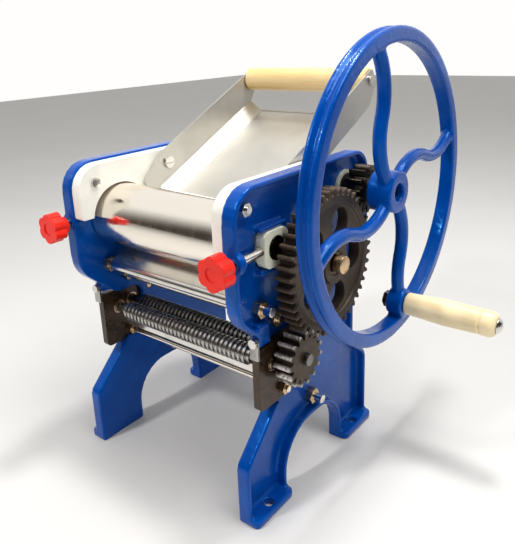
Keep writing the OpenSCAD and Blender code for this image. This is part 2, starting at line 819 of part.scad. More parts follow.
module hand_wheel() {
    color(frame_blue) difference() {
        union() {
            at_axis(wheel_axis) rim_ring();
            difference() {
                at_axis(wheel_axis) translate([wheel_mid, 0, 0]) in_yz() for (i = [0:3])
                    rotate(spoke_angle + 90 * i) spoke(shaft_d / 2 + 2, rim_inner + spoke_root);
                rod_x(wheel_axis, wheel_in, wheel_out, hub_d - 4);
            }
            rod_x(wheel_axis, hub_in, hub_out, hub_d);
            rod_x(handle_axis, wheel_in, handle_seat, handle_boss_d);
        }
        rod_x(wheel_axis, hub_in - 1, hub_out + 1, shaft_d + 2 * fixed_fit);
        keyway(wheel_axis, shaft_d, hub_in - 1, shaft_end, fixed_fit);
        rod_x(handle_axis, wheel_in - 1, handle_seat + 1, handle_bolt_d + 2 * fixed_fit);
    }
}

collar_out = bush_out + slide_gap + 8;

module wheel_shaft() {
    color(dark_steel) difference() {
        rod_x(wheel_axis, -collar_out - 1, shaft_end, shaft_d);
        keyway(wheel_axis, shaft_d, gear_in, gear_out, fixed_fit);
        keyway(wheel_axis, shaft_d, hub_in, shaft_end + 1, fixed_fit);
    }
}

module drive_pinion() {
    color(dark_steel) difference() {
        union() {
            at_axis(wheel_axis) translate([gear_in, 0, 0]) in_yz() linear_extrude(gear_width)
                gear_profile(gear_module, pinion_teeth, profile_shift, backlash, pinion_phase);
            rod_x(wheel_axis, bush_out + slide_gap, hub_in, shaft_d + 8);
        }
        rod_x(wheel_axis, bush_out, hub_in + 1, shaft_d + 2 * fixed_fit);
        keyway(wheel_axis, shaft_d, gear_in, hub_in + 1, fixed_fit);
    }
}

module pinion_key() { color(bright_steel) keyway(wheel_axis, shaft_d, gear_in, gear_out, 0); }
module wheel_key() { color(bright_steel) keyway(wheel_axis, shaft_d, hub_in, shaft_end, 0); }

module shaft_collar() {
    color(dark_steel) mirror([1, 0, 0])
        bush_x(wheel_axis, bush_out + slide_gap, collar_out, shaft_d + 12, shaft_d + 2 * fixed_fit);
}

// Crank handle

bolt_head_height = 4;
bolt_head_d = 1.75 * handle_bolt_d;
bolt_dome = 0.61 * bolt_head_d;
bolt_head_in = grip_end + slide_gap;

module handle_bolt() {
    color(bright_steel) {
        rod_x(handle_axis, wheel_in - handle_nut_height - 1.5, bolt_head_in + 1, handle_bolt_d);
        at_axis(handle_axis) translate([bolt_head_in, 0, 0]) in_yz() rotate_extrude() intersection() {
            translate([0, bolt_head_height - bolt_dome]) circle(r = bolt_dome);
            square([bolt_head_d / 2, bolt_head_height + 1]);
        }
    }
}

module handle_nut() {
    color(dark_steel) nut_x(handle_axis, wheel_in - handle_nut_height, wheel_in, handle_nut_flats,
        handle_bolt_d + 2 * fixed_fit);
}

// Turned grip: slim at the wheel, full towards the end, with one ring groove
module handle_grip() {
    full = grip_d / 2;
    slim = full * 0.86;
    ring = grip_length - 14;
    color(wood) at_axis(handle_axis) translate([grip_end - grip_length, 0, 0]) in_yz() rotate_extrude()
        polygon(rounded([
            [handle_bolt_d / 2 + running_fit, 0, 0.2], [slim, 0, 2.5], [full, grip_length * 0.45, 60],
            [full * 0.97, ring - 1.5, 0.5], [full * 0.97 - 1.2, ring, 0.5], [full * 0.97, ring + 1.5, 0.5],
            [full * 0.94, grip_length, 6], [handle_bolt_d / 2 + running_fit, grip_length, 0.2]], 5));
}

// Cutting head

module cutter_side() {
    difference() {
        plate_x(web_out, plate_out, rounded(box_points(plate_front, plate_bottom, plate_rear, plate_top, 5)));
        for (axis = [rear_cutter_axis, front_cutter_axis])
            rod_x(axis, web_out - 1, plate_out + 1, cutter_bush_d + 2 * fixed_fit);
        rod_x(cutter_rod_at, web_out - 1, plate_out + 1, cutter_rod_d + 2 * fixed_fit);
        for (at = cutter_bolt_at)
            rod_x(at, web_out - 1, plate_out + 1, cutter_bolt_d + 2 * fixed_fit);
    }
}

module right_cutter_plate() { color(dark_steel) cutter_side(); }
module left_cutter_plate() { color(dark_steel) mirror([1, 0, 0]) cutter_side(); }

module cutter_bolts() {
    color(zinc) both_sides() for (at = cutter_bolt_at) {
        hex_x(at, plate_out, plate_out + 4, 10);
        rod_x(at, web_in, plate_out + 1, cutter_bolt_d);
    }
}

module cutter_bushes() {
    color(zinc) both_sides() for (axis = [rear_cutter_axis, front_cutter_axis])
        bush_x(axis, web_out, plate_out, cutter_bush_d, cutter_journal_d + 2 * running_fit);
}

module cutter_tie_rod() {
    end = plate_out + 7;
    color(chrome) rod_x(cutter_rod_at, -end, end, cutter_rod_d);
}

module cutter_tie_nuts() {
    color(zinc) both_sides() {
        nut_x(cutter_rod_at, plate_out, plate_out + 4.5, 10, cutter_rod_d + 2 * fixed_fit);
        nut_x(cutter_rod_at, web_out - 5, web_out, 10, cutter_rod_d + 2 * fixed_fit);
    }
}

// Rings and grooves along a cutting roller; the two rollers are half a pitch apart
ring_width = ring_pitch / 2 - ring_clearance;
ring_span = ring_count * ring_pitch / 2;

module ringed_roller(axis, first, count, x0, x1) {
    core = ring_d - 2 * groove_cut;
    shoulder = ring_span + ring_pitch;
    rod_x(axis, -shoulder, shoulder, core);
    rod_x(axis, x0, x1, cutter_journal_d);
    for (i = [0:count - 1])
        rod_x(axis, first + i * ring_pitch - ring_width / 2, first + i * ring_pitch + ring_width / 2, ring_d);
}

module rear_cutter() {
    color(bright_steel)
        ringed_roller(rear_cutter_axis, ring_pitch / 2 - ring_span, ring_count, -link_out, gear_out + 4);
}

module front_cutter() {
    color(bright_steel)
        ringed_roller(front_cutter_axis, -ring_span, ring_count + 1, -link_out, plate_out + 1);
}

module cutter_gear() {
    color(cast_iron) difference() {
        union() {
            at_axis(rear_cutter_axis) translate([gear_in, 0, 0]) in_yz() linear_extrude(gear_width)
                gear_profile(gear_module, cutter_teeth, profile_shift, backlash, cutter_phase);
            rod_x(rear_cutter_axis, plate_out + slide_gap, gear_in + 1, cutter_journal_d + 10);
        }
        rod_x(rear_cutter_axis, plate_out, gear_out + 1, cutter_journal_d + 2 * fixed_fit);
    }
}

module link_gear(axis, phase) {
    mirror([1, 0, 0]) difference() {
        at_axis(axis) translate([link_in, 0, 0]) in_yz() linear_extrude(link_out - link_in)
            gear_profile(link_module, link_teeth, 0, link_backlash, phase);
        rod_x(axis, link_in - 1, link_out + 1, cutter_journal_d + 2 * fixed_fit);
    }
}

module rear_link_gear() { color(dark_steel) link_gear(rear_cutter_axis, 0); }
module front_link_gear() { color(dark_steel) link_gear(front_cutter_axis, link_phase); }

// Comb sheet between the plates, below the front cutting roller, with a finger in every groove of it

comb_lag = 7;
comb_rise = 3.5;
comb_strip = 8;
comb_y = front_cutter_axis[0] + comb_lag;
comb_low = cutter_rod_at[1] + cutter_rod_d / 2 + comb_rise;
comb_root = comb_low + comb_strip;
comb_tip = front_cutter_axis[1] - ring_d / 2 + groove_cut * 2;
finger = ring_pitch / 2 - 4 * ring_clearance - 0.4;

module noodle_comb() {
    color(bright_steel) {
        translate([-web_out, comb_y, comb_low]) cube([2 * web_out, sheet, comb_strip]);
        for (i = [0:ring_count - 1])
            translate([(i + 0.5 - ring_count / 2) * ring_pitch - finger / 2, comb_y, comb_root - 0.5])
                cube([finger, sheet, comb_tip - comb_root + 0.5]);
    }
}

// Turn clips that hang in front of the cutter plates

module turn_clip() {
    front = plate_front - slide_gap - latch_thickness;
    low = plate_top - 8;
    width = flange_out - web_out - 0.5;
    clip_round = width / 2 - 0.05;
    difference() {
        translate([0, front + latch_thickness, 0]) rotate([90, 0, 0]) linear_extrude(latch_thickness)
            polygon(rounded([[latch_x - width / 2, low, 1], [latch_x + width / 2, low, 1],
                [latch_x + width / 2, latch_z + width / 2, clip_round],
                [latch_x - width / 2, latch_z + width / 2, clip_round]]));
        translate([latch_x, front - 1, latch_z]) rotate([-90, 0, 0])
            cylinder(h = latch_thickness + 2, d = latch_screw_d + 2 * running_fit);
    }
}

module right_latch() { color(bright_steel) turn_clip(); }
module left_latch() { color(bright_steel) mirror([1, 0, 0]) turn_clip(); }

module latch_screws() {
    front = plate_front - 2 * slide_gap - latch_thickness;
    color(bright_steel) both_sides() translate([latch_x, front, latch_z]) rotate([-90, 0, 0]) {
        cylinder(h = 10, d = latch_screw_d);
        translate([0, 0, -2]) cylinder(h = 2, d = 2 * latch_screw_d);
    }
}

// Feed tray

module sloped() translate([0, tray_screw_at[0], tray_screw_at[1]]) rotate([tray_angle, 0, 0]) children();

arm_end = 9;
lip_bend = 6.4;
lip_reach = 36;
lip_top = 3;
lip_low = -8;
wall_outline = [
    [floor_front, tray_floor + tray_fold - 1, 1], [floor_rear, tray_floor + tray_fold - 1, 6],
    [bar_reach + arm_end, bar_v - arm_end, 6], [bar_reach + arm_end, wall_top, 4],
    [-lip_bend, wall_top, 3], [-lip_reach, lip_top, 3], [-lip_reach, lip_low, 3]];

module tray_section() {
    low = tray_floor;
    knee = sheet * tan(22.5);
    side = [[tray_half, low + tray_fold + 2], [tray_half, low + tray_fold], [tray_half - tray_fold, low]];
    inner = [[tray_half - tray_fold - knee, low + sheet], [tray_half - sheet, low + tray_fold + knee],
        [tray_half - sheet, low + tray_fold + 2]];
    right = concat(side, [[0, low], [0, low + sheet]], inner);
    polygon(right);
    mirror([1, 0]) polygon(right);
}

module dough_tray() {
    color(tray_grey) sloped() difference() {
        union() {
            translate([0, floor_rear, 0]) rotate([90, 0, 0]) linear_extrude(floor_length) tray_section();
            both_sides() plate_x(tray_half - sheet, tray_half, rounded(wall_outline));
            rod_x([floor_rear, tray_floor + sheet / 2], tray_fold - tray_half, tray_half - tray_fold,
                3 * sheet);
        }
        rod_x([0, 0], -tray_half - 1, tray_half + 1, tray_screw_d + 2 * fixed_fit);
        rod_x([bar_reach, bar_v], -tray_half - 1, tray_half + 1, bar_screw_d + 2 * running_fit);
    }
}

module tray_screws() {
    head = tray_half - sheet;
    color(bright_steel) both_sides() difference() {
        union() {
            rod_x(tray_screw_at, head - 2.5, head, 2 * tray_screw_d);
            rod_x(tray_screw_at, head - 0.5, web_in - 2, tray_screw_d);
            bush_x(tray_screw_at, tray_half, guard_in, 1.8 * tray_screw_d, tray_screw_d - 1);
        }
        at_axis(tray_screw_at) translate([head - 3.5, -tray_screw_d, -0.6])
            cube([2.2, 2 * tray_screw_d, 1.2]);
    }
}

module dough_bar() {
    half = tray_half - sheet - 0.5;
    color(wood) sloped() difference() {
        at_axis([bar_reach, bar_v]) in_yz() translate([0, 0, -half]) rotate_extrude()
            polygon([[0, 0], [bar_d / 2 - 1.5, 0], [bar_d / 2, 1.5], [bar_d / 2, 2 * half - 1.5],
                [bar_d / 2 - 1.5, 2 * half], [0, 2 * half]]);
        both_sides() rod_x([bar_reach, bar_v], half - 20, half + 1, bar_screw_d + 2 * fixed_fit);
    }
}

module bar_screws() {
    color(bright_steel) sloped() both_sides() {
        rod_x([bar_reach, bar_v], tray_half + slide_gap, tray_half + slide_gap + 2, 2 * bar_screw_d);
        rod_x([bar_reach, bar_v], tray_half - 19, tray_half + slide_gap + 1, bar_screw_d);
    }
}

left_frame();
right_frame();
left_guard();
right_guard();
guard_screws();
guard_nuts();
front_tie_rod();
base_tie_rod();
rear_tie_rod();
scraper_rod();
tie_rod_nuts();
front_scraper();
rear_scraper();
roller_bushes();
shaft_bushes();
rear_roller();
drive_gear();
drive_key();
gear_nut();
rear_roller_gear();
left_bearing_block();
right_bearing_block();
front_roller();
front_roller_gear();
left_knob();
right_knob();
left_screw();
right_screw();
hand_wheel();
wheel_shaft();
drive_pinion();
pinion_key();
wheel_key();
shaft_collar();
handle_bolt();
handle_nut();
handle_grip();
left_cutter_plate();
right_cutter_plate();
cutter_bolts();
cutter_bushes();
cutter_tie_rod();
cutter_tie_nuts();
noodle_comb();
rear_cutter();
front_cutter();
cutter_gear();
rear_link_gear();
front_link_gear();
left_latch();
right_latch();
latch_screws();
dough_tray();
tray_screws();
dough_bar();
bar_screws();
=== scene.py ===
"""Looks of a hand-cranked noodle cutter: its castings, plastics, bare metal, tray, wood and stage."""

import json
import math

import bpy
from bpy.props import FloatProperty, FloatVectorProperty, IntProperty, PointerProperty
from bpy.types import Operator, Panel, PropertyGroup
from mathutils import Matrix, Vector


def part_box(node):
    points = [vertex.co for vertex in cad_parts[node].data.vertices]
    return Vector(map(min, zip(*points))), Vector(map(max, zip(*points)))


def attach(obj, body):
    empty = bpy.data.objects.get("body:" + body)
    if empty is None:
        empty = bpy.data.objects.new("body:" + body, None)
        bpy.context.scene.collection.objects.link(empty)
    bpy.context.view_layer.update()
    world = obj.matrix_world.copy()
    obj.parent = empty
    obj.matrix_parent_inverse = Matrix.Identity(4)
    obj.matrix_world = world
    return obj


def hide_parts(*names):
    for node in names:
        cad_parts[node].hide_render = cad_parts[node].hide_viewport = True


bl_info = {
    "name": "Noodle Cutter",
    "version": (1, 0, 0),
    "blender": (4, 5, 0),
    "location": "3D View > Sidebar > Noodle Cutter",
    "description": "Dresses the solids of a hand-cranked noodle cutter",
    "category": "Object",
}

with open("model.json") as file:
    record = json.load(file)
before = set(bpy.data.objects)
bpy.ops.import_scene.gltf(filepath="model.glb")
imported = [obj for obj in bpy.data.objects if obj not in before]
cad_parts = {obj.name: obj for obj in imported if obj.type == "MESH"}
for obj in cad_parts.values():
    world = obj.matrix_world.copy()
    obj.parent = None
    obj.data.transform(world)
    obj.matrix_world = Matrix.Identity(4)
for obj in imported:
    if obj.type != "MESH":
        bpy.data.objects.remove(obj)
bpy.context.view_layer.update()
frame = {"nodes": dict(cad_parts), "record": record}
BODIES = frame["record"]["behaviour"]["bodies"]
BODY_OF = {node: body for body, nodes in BODIES.items() for node in nodes}

# Modelling limits: lengths in metres, angles in radians
WELD = 0.00001
FLAT_ANGLE = math.radians(0.4)
SHARP_ANGLE = math.radians(38)
DOME_ANGLE = math.radians(24)
CAP_ANGLE = math.radians(50)
DOME_RINGS = ((0.72, 0.55), (0.6, 0.3), (0.5, 0.15))

# Finishes: features to the metre along each axis, and lengths in metres
TURNING_LINES = (700.0, 6.0, 6.0)
ROLLING_LINES = (9.0, 500.0, 500.0)
PLATING_EDGE = 0.0004
RUBBED_DEPTH = 0.0035
TRAY_SLOPE = math.radians(25.5)

# Stage
FLOOR_SIZE = 8.0
FLOOR_PLACE = (0.0, 1.0, 0.0)
LAMP_AIM = Vector((0.0, 0.0, 0.17))
BRIGHT_SIDE = (-0.55, 0.70, 0.45)
SHADE_ENDS = (-0.07, 0.45)
WHITE_WALL = (1.0, 0.99, 0.975)


def colour(name, description, default):
    return FloatVectorProperty(name=name, description=description, default=default, subtype="COLOR",
                               min=0.0, max=1.0)


def length(name, description, default):
    return FloatProperty(name=name, description=description, default=default, unit="LENGTH",
                         min=0.0, precision=5)


def share(name, description, default):
    return FloatProperty(name=name, description=description, default=default, subtype="FACTOR",
                         min=0.0, max=1.0)


def rounds(name, description, default):
    return IntProperty(name=name, description=description, default=default, min=0, max=30)


def power(name, description, default):
    return FloatProperty(name=name, description=description, default=default, unit="POWER", min=0.0)


def angle(name, description, degrees):
    return FloatProperty(name=name, description=description, default=math.radians(degrees), subtype="ANGLE")


def scaled(tone, factor):
    """A colour with each channel times a factor."""
    return tuple(channel * factor for channel in tone)


class CastingSettings(PropertyGroup):
    """Sizes and colours of the painted castings"""

    grain: length("Cast Grain", "Size of the facets that the castings are rounded with", 0.0011)
    soften: rounds("Soften", "Rounds of softening on cast edges", 8)
    paint: colour("Paint", "Colour of the enamel where it lies thick", (0.0, 0.070, 0.38))
    thin_paint: colour("Thin Paint", "Colour of the enamel where it lies thin", (0.0, 0.048, 0.29))


class PlasticSettings(PropertyGroup):
    """Sizes and colours of the moulded pieces"""

    edge: length("Edge", "Rounding of the moulded edges", 0.0012)
    ivory: colour("Ivory", "Colour of the roller guards", (0.97, 0.95, 0.87))
    nylon: colour("Nylon", "Colour of the bearing blocks and bushes", (0.96, 0.97, 0.76))
    red: colour("Red", "Colour of the gap knobs", (0.92, 0.024, 0.012))
    knob_edge: length("Knob Edge", "Rounding of the knobs", 0.0016)


class MetalSettings(PropertyGroup):
    """Sizes and colours of the bare metal pieces"""

    edge: length("Edge", "Chamfer of machined edges", 0.0003)
    nut_edge: length("Nut Edge", "Rounding of nuts and screw heads", 0.0006)
    gear_grain: length("Gear Grain", "Size of the facets that the drive gear is rounded with", 0.0008)
    gear_soften: rounds("Gear Soften", "Rounds of softening on the drive gear", 4)
    end_reach: length("Roller End", "How far the front roller's end is drawn out of its block", 0.0023)
    cap_width: length("Cap Width", "Diameter of the cap on the drive gear's shaft", 0.0155)
    cap_rise: length("Cap Rise", "Height of the dome on that cap", 0.0012)
    head_share: share("Guard Screw Heads", "Size of the guard screws' heads beside their solids", 0.74)
    chrome: colour("Chrome", "Colour of the plated rollers and rods", (0.90, 0.84, 0.75))
    steel: colour("Steel", "Colour of bright steel", (0.62, 0.60, 0.57))
    dark: colour("Dark Steel", "Colour of oiled dark steel", (0.045, 0.035, 0.027))
    iron: colour("Iron", "Colour of the cast gears", (0.078, 0.055, 0.036))
    zinc: colour("Zinc", "Colour of the yellow zinc plating", (0.70, 0.55, 0.34))
    sheet: colour("Sheet", "Colour of the tray sheet", (0.60, 0.58, 0.53))
    plate: colour("Cutter Plate", "Colour of the plates beside the cutting rollers", (0.040, 0.022, 0.012))
    rubbed: colour("Rubbed Teeth", "Colour of the cutter gear's rubbed teeth", (0.72, 0.70, 0.66))
    tarnish: colour("Rod Tarnish", "Colour of the stains on the rods", (0.52, 0.46, 0.38))
    soot: colour("Soot", "Colour of the front roller's blackened end", (0.045, 0.033, 0.024))


class WoodSettings(PropertyGroup):
    """Colours of the turned wooden pieces"""

    pale: colour("Pale Wood", "Colour of the early wood", (0.91, 0.71, 0.38))
    deep: colour("Deep Wood", "Colour of the late wood", (0.80, 0.54, 0.22))
    # Painted highlight: the grip's two wood colours are a paler copy of the bar's, standing in for the strong
    # light on the grip.
    grip_lit_pale: colour("Lit Pale Grip", "Colour of the crank grip's early wood", (0.97, 0.86, 0.58))
    grip_lit_deep: colour("Lit Deep Grip", "Colour of the crank grip's late wood", (0.90, 0.70, 0.38))


class StageSettings(PropertyGroup):
    """Floor, light and camera"""

    floor: colour("Floor", "Colour of the floor", (0.72, 0.706, 0.684))
    daylight: share("Daylight", "Strength of the even light from all round", 0.44)
    shade: colour("Front Shade", "What polished metal sees in front of the machine", (0.05, 0.04, 0.032))
    key: power("Key Lamp", "Power of the broad lamp above", 11.0)
    glint: power("Glint Lamp", "Power of the small front lamp", 9.0)
    ceiling: power("Ceiling Lamp", "Power of the small lamp overhead", 9.0)
    lens: FloatProperty(name="Lens", description="Focal length of the camera", default=39.5, unit="CAMERA")
    shift: FloatVectorProperty(name="Shift", description="Shift of the camera's frame", size=2,
                               default=(-0.0069, -0.0929))
    stand: FloatVectorProperty(name="Camera Place", description="Where the camera stands", size=3,
                               default=(0.36693, -0.39884, 0.38956), subtype="TRANSLATION", unit="LENGTH")
    yaw: angle("Yaw", "Turn of the camera from the front", 38.61)
    pitch: angle("Pitch", "Downward tilt of the camera", 17.11)
    roll: angle("Roll", "Roll of the camera", -2.21)


# Modelling helpers


def pick(*pieces):
    """Selects only these objects and makes the last one active."""
    if bpy.context.object and bpy.context.object.mode != "OBJECT":
        bpy.ops.object.mode_set(mode="OBJECT")
    bpy.ops.object.select_all(action="DESELECT")
    for piece in pieces:
        piece.select_set(True)
        bpy.context.view_layer.objects.active = piece


def welded_copy(node, name):
    """Starts a piece as a copy of a solid, with its loose triangles joined."""
    piece = bpy.data.objects.new(name, frame["nodes"][node].data.copy())
    bpy.context.scene.collection.objects.link(piece)
    piece.data.materials.clear()
    pick(piece)
    bpy.ops.mesh.customdata_custom_splitnormals_clear()
    bpy.ops.object.mode_set(mode="EDIT")
    bpy.ops.mesh.select_all(action="SELECT")
    bpy.ops.mesh.remove_doubles(threshold=WELD)
    bpy.ops.object.mode_set(mode="OBJECT")
    return piece


def shape_with(piece, kind, **values):
    """Adds a modifier with these values and applies it."""
    pick(piece)
    bpy.ops.object.modifier_add(type=kind)
    modifier = piece.modifiers[-1]
    for key, value in values.items():
        setattr(modifier, key, value)
    bpy.ops.object.modifier_apply(modifier=modifier.name)


def cast(node, name, grain, rounds):
    """Models a casting: the solid with every edge and inner corner softly rounded."""
    piece = welded_copy(node, name)
    shape_with(piece, "REMESH", mode="VOXEL", voxel_size=grain)
    shape_with(piece, "SMOOTH", factor=0.5, iterations=rounds)
    bpy.ops.object.shade_smooth()
    return piece


def machined(node, name, edge, segments=2):
    """Models a machined or moulded piece: the solid with true flat faces, smooth rounds and broken edges."""
    piece = welded_copy(node, name)
    bpy.ops.object.mode_set(mode="EDIT")
    bpy.ops.mesh.select_all(action="SELECT")
    bpy.ops.mesh.dissolve_limited(angle_limit=FLAT_ANGLE)
    bpy.ops.object.mode_set(mode="OBJECT")
    shape_with(piece, "BEVEL", width=edge, segments=segments, limit_method="ANGLE", angle_limit=SHARP_ANGLE)
    bpy.ops.object.shade_smooth_by_angle(angle=SHARP_ANGLE)
    shape_with(piece, "WEIGHTED_NORMAL", keep_sharp=True)
    return piece


def choose(piece, wanted):
    """Goes into edit mode with only the wanted points selected."""
    pick(piece)
    bpy.ops.object.mode_set(mode="EDIT")
    bpy.ops.mesh.select_mode(type="VERT")
    bpy.ops.mesh.select_all(action="DESELECT")
    bpy.ops.object.mode_set(mode="OBJECT")
    for point in piece.data.vertices:
        point.select = wanted(point.co)
    bpy.ops.object.mode_set(mode="EDIT")


def turned_cap(name, low, high, width, rise):
    """Models a round cap with a domed end, on an axis along X between two stations."""
    pick()
    y, z = (low.y + high.y) / 2, (low.z + high.z) / 2
    bpy.ops.mesh.primitive_cylinder_add(vertices=48, radius=width / 2, depth=high.x - low.x - rise,
                                        location=((low.x + high.x - rise) / 2, y, z),
                                        rotation=(0.0, math.pi / 2, 0.0))
    cap = bpy.context.object
    cap.name = name
    bpy.ops.object.transform_apply(location=True, rotation=True, scale=True)
    face = high.x - rise - WELD
    choose(cap, lambda point: point.x > face)
    for inward, out in DOME_RINGS:
        bpy.ops.mesh.extrude_region_move(TRANSFORM_OT_translate={"value": (rise * out, 0.0, 0.0)})
        bpy.ops.transform.resize(value=(1.0, inward, inward), center_override=(high.x, y, z))
    bpy.ops.object.mode_set(mode="OBJECT")
    shape_with(cap, "BEVEL", width=rise / 4, segments=3, limit_method="ANGLE", angle_limit=DOME_ANGLE)
    bpy.ops.object.shade_smooth_by_angle(angle=CAP_ANGLE)
    return cap


def settle(piece, node, material):
    """Gives a finished piece its finish, and lets it ride where its solid does."""
    piece.data.materials.append(material)
    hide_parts(node)
    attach(piece, BODY_OF[node])


# Finishes


def fill(tree, made, sockets):
    """Fills a node's sockets, each with a value, a colour or a link."""
    for key, value in sockets.items():
        if isinstance(value, bpy.types.NodeSocket):
            tree.links.new(value, made.inputs[key])
        elif made.inputs[key].type == "RGBA":
            made.inputs[key].default_value = (*value[:3], 1.0)
        else:
            made.inputs[key].default_value = value


def add_node(tree, kind, sockets=None, **settings):
    """Adds a shader node with these settings and sockets."""
    made = tree.nodes.new("ShaderNode" + kind)
    for key, value in settings.items():
        setattr(made, key, value)
    fill(tree, made, sockets or {})
    return made


class Finish:
    """A node material on object coordinates, built step by step."""

    def __init__(self, name, **sockets):
        self.material = bpy.data.materials.new(name)
        self.material.use_nodes = True
        self.tree = self.material.node_tree
        self.shader = self.tree.nodes["Principled BSDF"]
        self.place = self.node("TexCoord").outputs["Object"]
        self.paint(**sockets)

    def node(self, kind, sockets=None, **settings):
        return add_node(self.tree, kind, sockets, **settings)

    def noise(self, scale, detail=3.0, rough=0.55, stretch=(1.0, 1.0, 1.0), turn=(0.0, 0.0, 0.0)):
        """Noise of so many features to the metre, stretched along the axes."""
        laid = {"Vector": self.place, "Rotation": Vector(turn), "Scale": Vector(stretch)}
        place = self.node("Mapping", laid).outputs[0]
        sockets = {"Vector": place, "Scale": scale, "Detail": detail, "Roughness": rough}
        return self.node("TexNoise", sockets).outputs["Fac"]

    def span(self, value, low, high, to_low=0.0, to_high=1.0):
        """Maps a range of a value onto another, smoothly."""
        sockets = {"Value": value, "From Min": low, "From Max": high, "To Min": to_low, "To Max": to_high}
        return self.node("MapRange", sockets, interpolation_type="SMOOTHSTEP").outputs[0]

    def blend(self, amount, low, high):
        """Mixes two colours by an amount from 0 to 1."""
        return self.node("Mix", {0: amount, 6: low, 7: high}, data_type="RGBA").outputs[2]

    def math(self, operation, first, second):
        return self.node("Math", {0: first, 1: second}, operation=operation).outputs[0]

    def along(self, axis):
        return self.node("SeparateXYZ", {0: self.place}).outputs[axis]

    def radius(self, y, z):
        """Distance from an axis that runs along X."""
        across = self.math("SUBTRACT", self.along(1), y)
        up = self.math("SUBTRACT", self.along(2), z)
        squares = self.math("ADD", self.math("MULTIPLY", across, across), self.math("MULTIPLY", up, up))
        return self.math("SQRT", squares, 0.0)

    def bump(self, *layers):
        """Stacks bumps, each a height and a depth in metres."""
        normal = None
        for height, depth in layers:
            sockets = {"Height": height, "Distance": depth, "Strength": 1.0}
            if normal:
                sockets["Normal"] = normal
            normal = self.node("Bump", sockets).outputs[0]
        self.paint(Normal=normal)

    def paint(self, **sockets):
        """Fills the shader's own sockets, named with underscores for spaces."""
        fill(self.tree, self.shader, {key.replace("_", " "): value for key, value in sockets.items()})
        return self.material


def cobalt_enamel(settings):
    """Thick glossy enamel with lumps, thin places and fine grain."""
    made = Finish("cobalt_enamel", Coat_Weight=0.16, Coat_Roughness=0.03, Specular_IOR_Level=0.55,
                  Specular_Tint=(0.05, 0.38, 1.0))
    cloud = made.span(made.noise(22.0, 3.0), 0.3, 0.7)
    grain = made.noise(900.0, 3.0, 0.6)
    tone = made.blend(cloud, settings.thin_paint, settings.paint)
    speck = made.span(made.noise(420.0, 2.0), 0.68, 0.80, 0.0, 0.45)
    made.bump((made.noise(150.0, 2.0), 0.00036), (grain, 0.00005))
    return made.paint(Base_Color=made.blend(speck, tone, settings.thin_paint),
                      Roughness=made.span(made.noise(70.0, 3.0), 0.3, 0.7, 0.14, 0.27))


def moulded(name, tone, rough, depth, **sockets):
    """Moulded plastic with faint flow clouds and a fine skin."""
    made = Finish(name, **sockets)
    shade = scaled(tone, 0.86)
    cloud = made.span(made.noise(28.0, 4.0, stretch=(0.5, 1.0, 1.0)), 0.3, 0.7)
    made.bump((made.noise(240.0, 2.0), depth), (made.noise(1500.0, 2.0), depth * 0.15))
    return made.paint(Base_Color=made.blend(cloud, shade, tone),
                      Roughness=made.span(made.noise(120.0), 0.3, 0.7, rough * 0.8, rough * 1.2))


def plated(name, tone, rough, ring=TURNING_LINES, tarnish=None, **sockets):
    """Bright metal with fine turning lines and a little tarnish."""
    made = Finish(name, Metallic=1.0, **sockets)
    lines = made.noise(1.0, 3.0, 0.6, stretch=ring)
    stain = made.span(made.noise(45.0, 5.0, 0.65), 0.52, 0.72)
    dull = tarnish or scaled(tone, 0.8)
    made.bump((lines, 0.000006))
    sheen = made.math("ADD", made.span(lines, 0.25, 0.75, 0.0, rough * 0.5),
                      made.span(stain, 0.0, 1.0, 0.0, rough * 0.5))
    return made.paint(Base_Color=made.blend(stain, tone, dull),
                      Roughness=made.math("ADD", sheen, rough * 0.6))


def roller_skin(name, tone, journal, end, start):
    """Plated roller with dull journals, the right one past a station along X in a tone of its own."""
    made = Finish(name, Metallic=1.0)
    lines = made.noise(1.0, 3.0, 0.6, stretch=TURNING_LINES)
    right = made.span(made.along(0), start, start + PLATING_EDGE)
    left = made.span(made.along(0), -start, -start - PLATING_EDGE)
    stain = made.span(made.noise(260.0, 4.0), 0.35, 0.75)
    patchy = made.blend(stain, end, scaled(end, 3.0))
    worn = made.blend(stain, journal, scaled(journal, 0.6))
    dull = made.math("MAXIMUM", made.span(right, 0.0, 1.0, 0.0, 0.12),
                     made.span(left, 0.0, 1.0, 0.0, 0.3))
    made.bump((lines, 0.000006))
    return made.paint(Base_Color=made.blend(left, made.blend(right, tone, patchy), worn),
                      Roughness=made.math("ADD", made.span(lines, 0.25, 0.75, 0.10, 0.20), dull))


def cast_gear(name, tone, worn, axis, tip, metal=0.75):
    """Cast gear with a sandy skin and teeth that are rubbed brighter near their tips."""
    made = Finish(name, Metallic=metal)
    sand = made.noise(520.0, 5.0, 0.65)
    patch = made.span(made.noise(38.0, 4.0), 0.3, 0.7)
    dark = scaled(tone, 0.62)
    rubbed = made.math("MULTIPLY", made.span(made.radius(*axis), tip - RUBBED_DEPTH, tip),
                       made.span(sand, 0.3, 0.6))
    made.bump((sand, 0.00012), (made.noise(130.0, 3.0), 0.0002))
    skin = made.blend(patch, dark, tone)
    return made.paint(Base_Color=made.blend(rubbed, skin, worn),
                      Roughness=made.span(sand, 0.3, 0.7, 0.36, 0.56))


def oiled(name, tone, rough=0.34, metal=0.85):
    """Dark steel under a film of oil, with paler rubbed patches."""
    made = Finish(name, Metallic=metal, Coat_Weight=0.08, Coat_Roughness=0.15)
    patch = made.span(made.noise(95.0, 5.0, 0.65), 0.42, 0.75)
    pale = scaled(tone, 1.8)
    grain = made.noise(800.0, 3.0)
    made.bump((made.noise(300.0, 3.0), 0.00006), (grain, 0.00002))
    return made.paint(Base_Color=made.blend(patch, tone, pale),
                      Roughness=made.span(patch, 0.0, 1.0, rough * 0.75, rough * 1.25))


